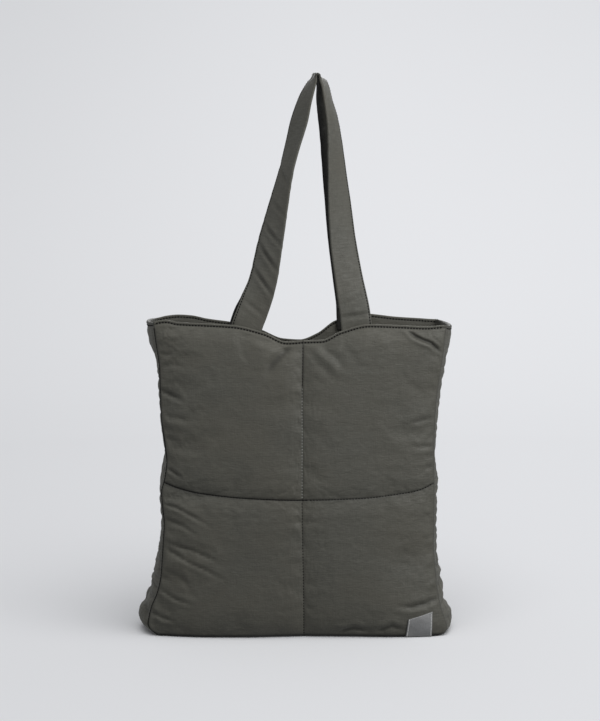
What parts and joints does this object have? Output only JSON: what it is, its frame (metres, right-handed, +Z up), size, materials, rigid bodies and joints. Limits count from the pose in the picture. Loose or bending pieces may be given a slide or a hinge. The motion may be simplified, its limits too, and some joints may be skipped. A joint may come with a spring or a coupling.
{
  "type": "shopping bag",
  "caption": "Soft padded shopping bag with quilted panels, a gathered gusset, an open top and flat strap handles drawn up to one hanging point.",
  "frame": {"origin": "the point that the bag hangs from, under the top folds of both handles", "axes": "+Z up from the base to the hanging point, +Y from the front panel to the back panel, +X to the right seen from the front"},
  "size_m": [0.3795, 0.1492, 0.6752],
  "materials": {
    "padded_nylon": "crinkled nylon with a slight sheen, dark olive grey",
    "strap_nylon": "folded crinkled nylon with a slight sheen, dark olive grey",
    "woven_label": "plain woven label, mid grey"
  },
  "bodies": {
    "root": {"front_panel": "padded_nylon", "back_panel": "padded_nylon", "gusset": "padded_nylon", "front_handle": "strap_nylon", "back_handle": "strap_nylon", "label": "woven_label"}
  },
  "joints": []
}
